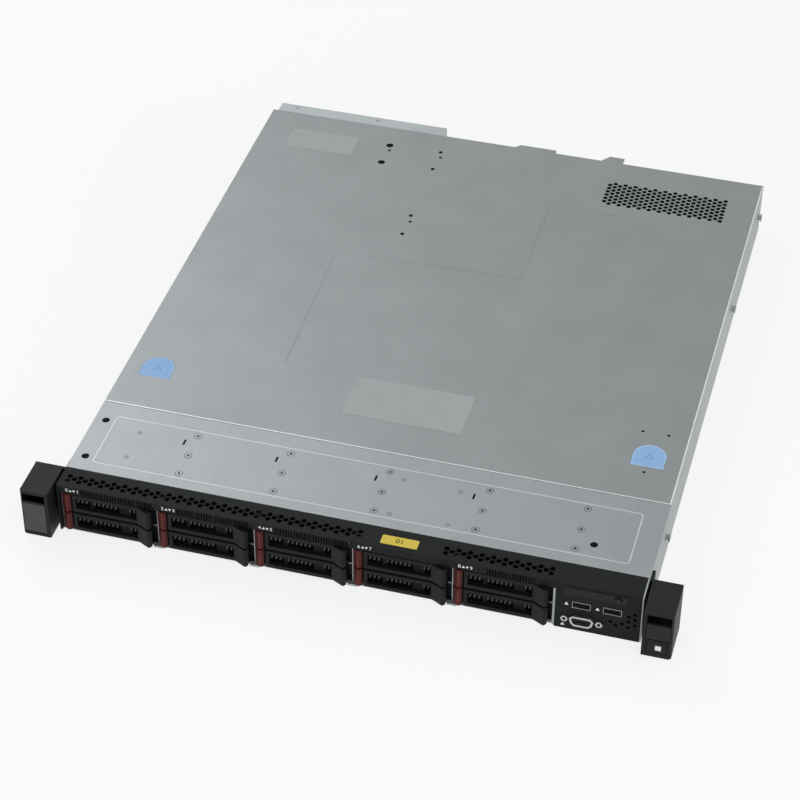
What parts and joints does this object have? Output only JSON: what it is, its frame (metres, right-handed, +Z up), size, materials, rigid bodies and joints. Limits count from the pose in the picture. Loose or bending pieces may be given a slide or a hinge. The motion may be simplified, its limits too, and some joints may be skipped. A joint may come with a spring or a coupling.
{
  "type": "1u rack server",
  "caption": "One-unit rack server: flat steel case with a sliding cover, front drive trays on levers, rack ears with flaps, fans and hot-swap power supplies.",
  "frame": {"origin": "centre of the overall box in plan, on the plane the case rests on", "axes": "+X to the right seen from the front, +Y towards the rear with the power supplies, +Z up; the drives face -Y"},
  "size_m": [0.482, 0.5454, 0.043],
  "materials": {
    "galvanised_steel": "satin galvanised sheet",
    "black_bezel": "fine matt black paint",
    "black_plastic": "moulded, matt",
    "flap_plastic": "moulded, matt grey",
    "drive_carrier": "black carrier with a cast drive case",
    "latch_red": "moulded dark red",
    "pad_blue": "moulded light blue",
    "panel_black": "smooth black film",
    "button_black": "moulded",
    "port_metal": "plated shells",
    "board_green": "solder mask on glass laminate",
    "fan_plastic": "moulded glass-filled nylon",
    "sink_aluminium": "milled",
    "supply_case": "plated case, light inside",
    "latch_supply": "moulded dark red"
  },
  "bodies": {
    "root": {"chassis_base": "galvanised_steel", "front_top_plate": "galvanised_steel", "front_bezel": "black_bezel", "operator_panel": "panel_black", "front_ports": "port_metal", "drive_cage": "galvanised_steel", "drive_backplane": "board_green", "fan_housings": "fan_plastic", "system_board": "board_green", "heat_sink": "sink_aluminium", "memory_modules": "board_green", "supply_cage": "galvanised_steel", "riser_cage": "galvanised_steel", "rear_ports": "port_metal", "ear_right": "black_plastic", "ear_left": "black_plastic"},
    "cover": {"top_cover": "galvanised_steel", "touch_pads": "pad_blue"},
    "fan_rotor_1": {"fan_rotor_1": "fan_plastic"},
    "fan_rotor_2": {"fan_rotor_2": "fan_plastic"},
    "fan_rotor_3": {"fan_rotor_3": "fan_plastic"},
    "fan_rotor_4": {"fan_rotor_4": "fan_plastic"},
    "power_supply_1": {"power_supply_1": "supply_case"},
    "supply_latch_1": {"supply_latch_1": "latch_supply"},
    "power_supply_2": {"power_supply_2": "supply_case"},
    "supply_latch_2": {"supply_latch_2": "latch_supply"},
    "power_button": {"power_button": "button_black"},
    "info_tab": {"info_tab": "black_plastic"},
    "ear_flap_right": {"ear_flap_right": "flap_plastic"},
    "ear_flap_left": {"ear_flap_left": "flap_plastic"},
    "drive_tray_0": {"drive_tray_0": "drive_carrier"},
    "drive_lever_0": {"drive_lever_0": "black_plastic"},
    "drive_latch_0": {"drive_latch_0": "latch_red"},
    "drive_tray_1": {"drive_tray_1": "drive_carrier"},
    "drive_lever_1": {"drive_lever_1": "black_plastic"},
    "drive_latch_1": {"drive_latch_1": "latch_red"},
    "drive_tray_2": {"drive_tray_2": "drive_carrier"},
    "drive_lever_2": {"drive_lever_2": "black_plastic"},
    "drive_latch_2": {"drive_latch_2": "latch_red"},
    "drive_tray_3": {"drive_tray_3": "drive_carrier"},
    "drive_lever_3": {"drive_lever_3": "black_plastic"},
    "drive_latch_3": {"drive_latch_3": "latch_red"},
    "drive_tray_4": {"drive_tray_4": "drive_carrier"},
    "drive_lever_4": {"drive_lever_4": "black_plastic"},
    "drive_latch_4": {"drive_latch_4": "latch_red"},
    "drive_tray_5": {"drive_tray_5": "drive_carrier"},
    "drive_lever_5": {"drive_lever_5": "black_plastic"},
    "drive_latch_5": {"drive_latch_5": "latch_red"},
    "drive_tray_6": {"drive_tray_6": "drive_carrier"},
    "drive_lever_6": {"drive_lever_6": "black_plastic"},
    "drive_latch_6": {"drive_latch_6": "latch_red"},
    "drive_tray_7": {"drive_tray_7": "drive_carrier"},
    "drive_lever_7": {"drive_lever_7": "black_plastic"},
    "drive_latch_7": {"drive_latch_7": "latch_red"},
    "drive_tray_8": {"drive_tray_8": "drive_carrier"},
    "drive_lever_8": {"drive_lever_8": "black_plastic"},
    "drive_latch_8": {"drive_latch_8": "latch_red"},
    "drive_tray_9": {"drive_tray_9": "drive_carrier"},
    "drive_lever_9": {"drive_lever_9": "black_plastic"},
    "drive_latch_9": {"drive_latch_9": "latch_red"}
  },
  "joints": [
    {"name": "cover_slide", "type": "slide", "parent": "root", "child": "cover", "axis": [0, 1, 0], "range_m": [0, 0.008]},
    {"name": "fan_spin_1", "type": "hinge", "parent": "root", "child": "fan_rotor_1", "pos_m": [-0.1712, -0.11445, 0.021], "axis": [0, 1, 0], "continuous": true},
    {"name": "fan_spin_2", "type": "hinge", "parent": "root", "child": "fan_rotor_2", "pos_m": [-0.0592, -0.11445, 0.021], "axis": [0, 1, 0], "continuous": true},
    {"name": "fan_spin_3", "type": "hinge", "parent": "root", "child": "fan_rotor_3", "pos_m": [0.0528, -0.11445, 0.021], "axis": [0, 1, 0], "continuous": true},
    {"name": "fan_spin_4", "type": "hinge", "parent": "root", "child": "fan_rotor_4", "pos_m": [0.1648, -0.11445, 0.021], "axis": [0, 1, 0], "continuous": true},
    {"name": "supply_slide_1", "type": "slide", "parent": "root", "child": "power_supply_1", "axis": [0, 1, 0], "range_m": [0, 0.15]},
    {"name": "supply_latch_press_1", "type": "slide", "parent": "power_supply_1", "child": "supply_latch_1", "axis": [-1, 0, 0], "range_m": [0, 0.002], "stiffness_N_per_m": 400},
    {"name": "supply_slide_2", "type": "slide", "parent": "root", "child": "power_supply_2", "axis": [0, 1, 0], "range_m": [0, 0.15]},
    {"name": "supply_latch_press_2", "type": "slide", "parent": "power_supply_2", "child": "supply_latch_2", "axis": [-1, 0, 0], "range_m": [0, 0.002], "stiffness_N_per_m": 400},
    {"name": "power_button_press", "type": "slide", "parent": "root", "child": "power_button", "axis": [0, 1, 0], "range_m": [0, 0.0008], "stiffness_N_per_m": 600},
    {"name": "info_tab_slide", "type": "slide", "parent": "root", "child": "info_tab", "axis": [0, -1, 0], "range_m": [0, 0.02]},
    {"name": "ear_flap_hinge_right", "type": "hinge", "parent": "root", "child": "ear_flap_right", "pos_m": [0.2307, -0.27155, 0.0182], "axis": [1, 0, 0], "range_deg": [0, 90]},
    {"name": "ear_flap_hinge_left", "type": "hinge", "parent": "root", "child": "ear_flap_left", "pos_m": [-0.2307, -0.27155, 0.0048], "axis": [1, 0, 0], "range_deg": [0, 90]},
    {"name": "tray_slide_0", "type": "slide", "parent": "root", "child": "drive_tray_0", "axis": [0, -1, 0], "range_m": [0, 0.1]},
    {"name": "lever_swing_0", "type": "hinge", "parent": "drive_tray_0", "child": "drive_lever_0", "pos_m": [-0.1471, -0.25965, 0.0103], "axis": [0, 0, 1], "range_deg": [0, 50]},
    {"name": "latch_slide_0", "type": "slide", "parent": "drive_tray_0", "child": "drive_latch_0", "axis": [-1, 0, 0], "range_m": [0, 0.0015], "stiffness_N_per_m": 300},
    {"name": "tray_slide_1", "type": "slide", "parent": "root", "child": "drive_tray_1", "axis": [0, -1, 0], "range_m": [0, 0.1]},
    {"name": "lever_swing_1", "type": "hinge", "parent": "drive_tray_1", "child": "drive_lever_1", "pos_m": [-0.1471, -0.25965, 0.0281], "axis": [0, 0, 1], "range_deg": [0, 50]},
    {"name": "latch_slide_1", "type": "slide", "parent": "drive_tray_1", "child": "drive_latch_1", "axis": [-1, 0, 0], "range_m": [0, 0.0015], "stiffness_N_per_m": 300},
    {"name": "tray_slide_2", "type": "slide", "parent": "root", "child": "drive_tray_2", "axis": [0, -1, 0], "range_m": [0, 0.1]},
    {"name": "lever_swing_2", "type": "hinge", "parent": "drive_tray_2", "child": "drive_lever_2", "pos_m": [-0.07345, -0.25965, 0.0103], "axis": [0, 0, 1], "range_deg": [0, 50]},
    {"name": "latch_slide_2", "type": "slide", "parent": "drive_tray_2", "child": "drive_latch_2", "axis": [-1, 0, 0], "range_m": [0, 0.0015], "stiffness_N_per_m": 300},
    {"name": "tray_slide_3", "type": "slide", "parent": "root", "child": "drive_tray_3", "axis": [0, -1, 0], "range_m": [0, 0.1]},
    {"name": "lever_swing_3", "type": "hinge", "parent": "drive_tray_3", "child": "drive_lever_3", "pos_m": [-0.07345, -0.25965, 0.0281], "axis": [0, 0, 1], "range_deg": [0, 50]},
    {"name": "latch_slide_3", "type": "slide", "parent": "drive_tray_3", "child": "drive_latch_3", "axis": [-1, 0, 0], "range_m": [0, 0.0015], "stiffness_N_per_m": 300},
    {"name": "tray_slide_4", "type": "slide", "parent": "root", "child": "drive_tray_4", "axis": [0, -1, 0], "range_m": [0, 0.1]},
    {"name": "lever_swing_4", "type": "hinge", "parent": "drive_tray_4", "child": "drive_lever_4", "pos_m": [0.0002, -0.25965, 0.0103], "axis": [0, 0, 1], "range_deg": [0, 50]},
    {"name": "latch_slide_4", "type": "slide", "parent": "drive_tray_4", "child": "drive_latch_4", "axis": [-1, 0, 0], "range_m": [0, 0.0015], "stiffness_N_per_m": 300},
    {"name": "tray_slide_5", "type": "slide", "parent": "root", "child": "drive_tray_5", "axis": [0, -1, 0], "range_m": [0, 0.1]},
    {"name": "lever_swing_5", "type": "hinge", "parent": "drive_tray_5", "child": "drive_lever_5", "pos_m": [0.0002, -0.25965, 0.0281], "axis": [0, 0, 1], "range_deg": [0, 50]},
    {"name": "latch_slide_5", "type": "slide", "parent": "drive_tray_5", "child": "drive_latch_5", "axis": [-1, 0, 0], "range_m": [0, 0.0015], "stiffness_N_per_m": 300},
    {"name": "tray_slide_6", "type": "slide", "parent": "root", "child": "drive_tray_6", "axis": [0, -1, 0], "range_m": [0, 0.1]},
    {"name": "lever_swing_6", "type": "hinge", "parent": "drive_tray_6", "child": "drive_lever_6", "pos_m": [0.07385, -0.25965, 0.0103], "axis": [0, 0, 1], "range_deg": [0, 50]},
    {"name": "latch_slide_6", "type": "slide", "parent": "drive_tray_6", "child": "drive_latch_6", "axis": [-1, 0, 0], "range_m": [0, 0.0015], "stiffness_N_per_m": 300},
    {"name": "tray_slide_7", "type": "slide", "parent": "root", "child": "drive_tray_7", "axis": [0, -1, 0], "range_m": [0, 0.1]},
    {"name": "lever_swing_7", "type": "hinge", "parent": "drive_tray_7", "child": "drive_lever_7", "pos_m": [0.07385, -0.25965, 0.0281], "axis": [0, 0, 1], "range_deg": [0, 50]},
    {"name": "latch_slide_7", "type": "slide", "parent": "drive_tray_7", "child": "drive_latch_7", "axis": [-1, 0, 0], "range_m": [0, 0.0015], "stiffness_N_per_m": 300},
    {"name": "tray_slide_8", "type": "slide", "parent": "root", "child": "drive_tray_8", "axis": [0, -1, 0], "range_m": [0, 0.1]},
    {"name": "lever_swing_8", "type": "hinge", "parent": "drive_tray_8", "child": "drive_lever_8", "pos_m": [0.1475, -0.25965, 0.0103], "axis": [0, 0, 1], "range_deg": [0, 50]},
    {"name": "latch_slide_8", "type": "slide", "parent": "drive_tray_8", "child": "drive_latch_8", "axis": [-1, 0, 0], "range_m": [0, 0.0015], "stiffness_N_per_m": 300},
    {"name": "tray_slide_9", "type": "slide", "parent": "root", "child": "drive_tray_9", "axis": [0, -1, 0], "range_m": [0, 0.1]},
    {"name": "lever_swing_9", "type": "hinge", "parent": "drive_tray_9", "child": "drive_lever_9", "pos_m": [0.1475, -0.25965, 0.0281], "axis": [0, 0, 1], "range_deg": [0, 50]},
    {"name": "latch_slide_9", "type": "slide", "parent": "drive_tray_9", "child": "drive_latch_9", "axis": [-1, 0, 0], "range_m": [0, 0.0015], "stiffness_N_per_m": 300}
  ]
}
